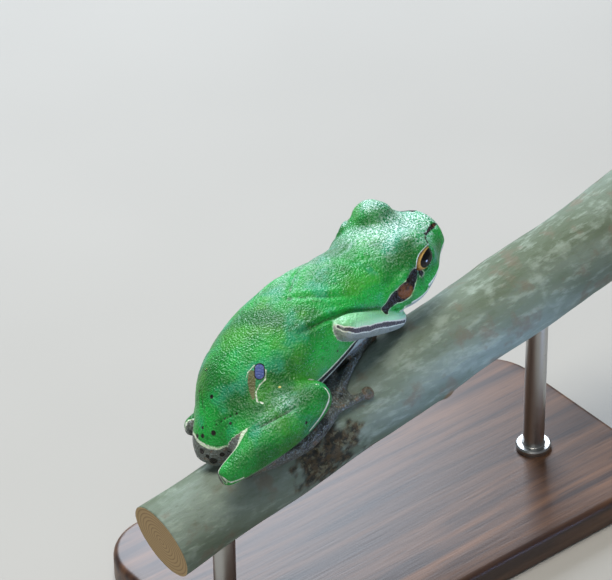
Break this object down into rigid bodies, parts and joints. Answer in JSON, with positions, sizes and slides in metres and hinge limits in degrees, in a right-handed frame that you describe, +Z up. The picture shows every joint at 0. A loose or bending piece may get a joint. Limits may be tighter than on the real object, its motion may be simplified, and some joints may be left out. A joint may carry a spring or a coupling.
{
  "type": "european tree frog",
  "caption": "Life-size still model of a green tree frog crouching on a cut length of branch, on a low display stand.",
  "frame": {"origin": "centre of the stand base's underside", "axes": "+Z up, +X along the branch towards the frog's nose, +Y to the frog's left"},
  "size_m": [0.0836, 0.038, 0.0479],
  "materials": {
    "skin": "moist, finely granular green frog skin",
    "eye": "wet, glossy, golden iris with a black pupil",
    "bark": "smooth grey-olive bark with paler patches",
    "stand_wood": "dark oiled hardwood",
    "stand_metal": "brushed steel rod"
  },
  "bodies": {
    "root": {"head": "skin", "torso": "skin", "eye_left": "eye", "eye_right": "eye", "upper_arm_left": "skin", "upper_arm_right": "skin", "forearm_left": "skin", "forearm_right": "skin", "hand_left": "skin", "hand_right": "skin", "thigh_left": "skin", "thigh_right": "skin", "shank_left": "skin", "shank_right": "skin", "foot_left": "skin", "foot_right": "skin", "perch_branch": "bark", "stand_base": "stand_wood", "stand_rod_rear": "stand_metal", "stand_rod_front": "stand_metal"}
  },
  "joints": []
}
